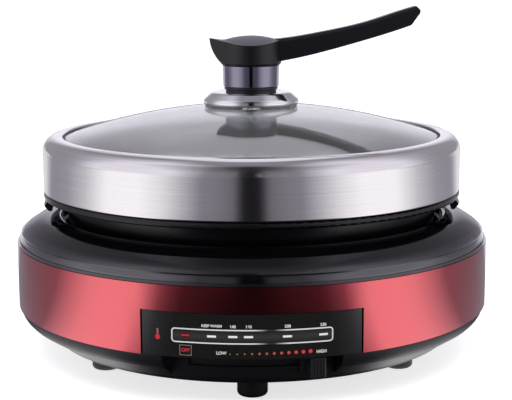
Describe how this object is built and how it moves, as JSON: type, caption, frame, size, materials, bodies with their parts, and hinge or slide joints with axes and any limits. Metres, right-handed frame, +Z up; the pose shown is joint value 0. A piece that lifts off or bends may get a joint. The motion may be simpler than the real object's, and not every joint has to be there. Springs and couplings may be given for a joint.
{
  "type": "electric hot pot",
  "caption": "Round electric hot pot: heated base with a sliding temperature control, lift-out deep pan and a steel-rimmed glass lid with a one-sided lever handle.",
  "frame": {"origin": "on the floor plane, on the pot's vertical middle line", "axes": "+Z up, -Y towards the control panel (front), +X to the right, the way the lid's lever points at rest"},
  "size_m": [0.3808, 0.3808, 0.2783],
  "materials": {
    "black_lower": "fine-textured black",
    "black_feet": "matte black",
    "zinc_screw": "zinc plated",
    "black_trim": "high-gloss black",
    "red_paint": "metallic red gloss",
    "black_gloss": "high-gloss black",
    "panel_window": "printed gloss dark grey",
    "lamp_lens": "clear red",
    "black_matte": "fine-textured black",
    "inlet_phenolic": "moulded phenolic",
    "brass": "nickel-free brass",
    "liner_steel": "aluminised",
    "shield_steel": "mill finish",
    "heater_aluminium": "cast and turned",
    "element_sheath": "oxidised",
    "guide_brass": "turned",
    "sensor_aluminium": "pressed",
    "copper": "drawn copper",
    "spring_steel": "spring steel",
    "thermostat_case": "zinc plated",
    "spindle_steel": "turned",
    "nylon": "natural nylon",
    "nylon_black": "black nylon",
    "wire_sleeve": "silicone-sleeved glass yarn",
    "fuse_ceramic": "plain",
    "pan_nonstick": "cast, black non-stick coating",
    "black_grip": "high-gloss black",
    "ring_steel": "circumferentially brushed",
    "silicone": "black silicone",
    "glass": "clear tempered",
    "chrome": "polished",
    "handle_matte": "soft matte black",
    "cap_grey": "satin dark grey"
  },
  "bodies": {
    "base": {"lower_housing": "black_lower", "feet": "black_feet", "foot_screws": "zinc_screw", "side_wall": "black_trim", "red_band": "red_paint", "upper_housing": "black_gloss", "housing_screws": "zinc_screw", "control_panel": "panel_window", "indicator_lamp": "lamp_lens", "lamp_holder": "black_matte", "inlet_frame": "black_trim", "inlet_socket": "inlet_phenolic", "inlet_pins": "brass", "inlet_screws": "zinc_screw", "well_liner": "liner_steel", "liner_screws": "zinc_screw", "heat_shield": "shield_steel", "heater_plate": "heater_aluminium", "heating_element": "element_sheath", "heater_spacers": "zinc_screw", "heater_screws": "zinc_screw", "sensor_guide": "guide_brass", "sensor_spring": "spring_steel", "thermostat_body": "thermostat_case", "thermostat_screws": "zinc_screw", "capillary_tube": "copper", "lead_wires": "wire_sleeve", "thermal_fuse": "fuse_ceramic"},
    "sensor": {"sensor_cap": "sensor_aluminium", "sensor_bulb": "copper", "sensor_clip": "spring_steel"},
    "spindle": {"thermostat_spindle": "spindle_steel", "drive_pinion": "nylon"},
    "slider": {"slider_carriage": "nylon_black", "slider_lever": "black_matte"},
    "pan": {"pan": "pan_nonstick", "pan_grip_left": "black_grip", "pan_grip_right": "black_grip", "grip_screws": "zinc_screw"},
    "lid": {"lid_ring": "ring_steel", "lid_seal": "silicone", "lid_glass": "glass", "knob_plate": "chrome", "knob_gasket": "silicone", "knob_spacer": "black_matte", "knob_stem": "black_gloss", "lid_handle": "handle_matte", "knob_cap": "cap_grey", "knob_washer": "zinc_screw", "knob_screw": "zinc_screw"}
  },
  "joints": [
    {"name": "pan_lift", "type": "slide", "parent": "base", "child": "pan", "axis": [0, 0, 1], "range_m": [0, 0.09]},
    {"name": "lid_lift", "type": "slide", "parent": "pan", "child": "lid", "axis": [0, 0, 1], "range_m": [0, 0.12]},
    {"name": "temperature_slide", "type": "hinge", "parent": "base", "child": "slider", "pos_m": [0, 0, 0.036], "axis": [0, 0, 1], "range_deg": [-28.2, 0]},
    {"name": "thermostat_turn", "type": "hinge", "parent": "base", "child": "spindle", "pos_m": [-0.0725, -0.12557, 0.034], "axis": [0, 0, 1], "range_deg": [-301, 0]},
    {"name": "sensor_press", "type": "slide", "parent": "base", "child": "sensor", "axis": [0, 0, 1], "range_m": [-0.002, 0], "stiffness_N_per_m": 1000, "springref_m": 0.003, "deforming": ["sensor_spring"]}
  ],
  "couplings": [
    {"joint": "thermostat_turn", "follows": "temperature_slide", "ratio": 10.667}
  ]
}
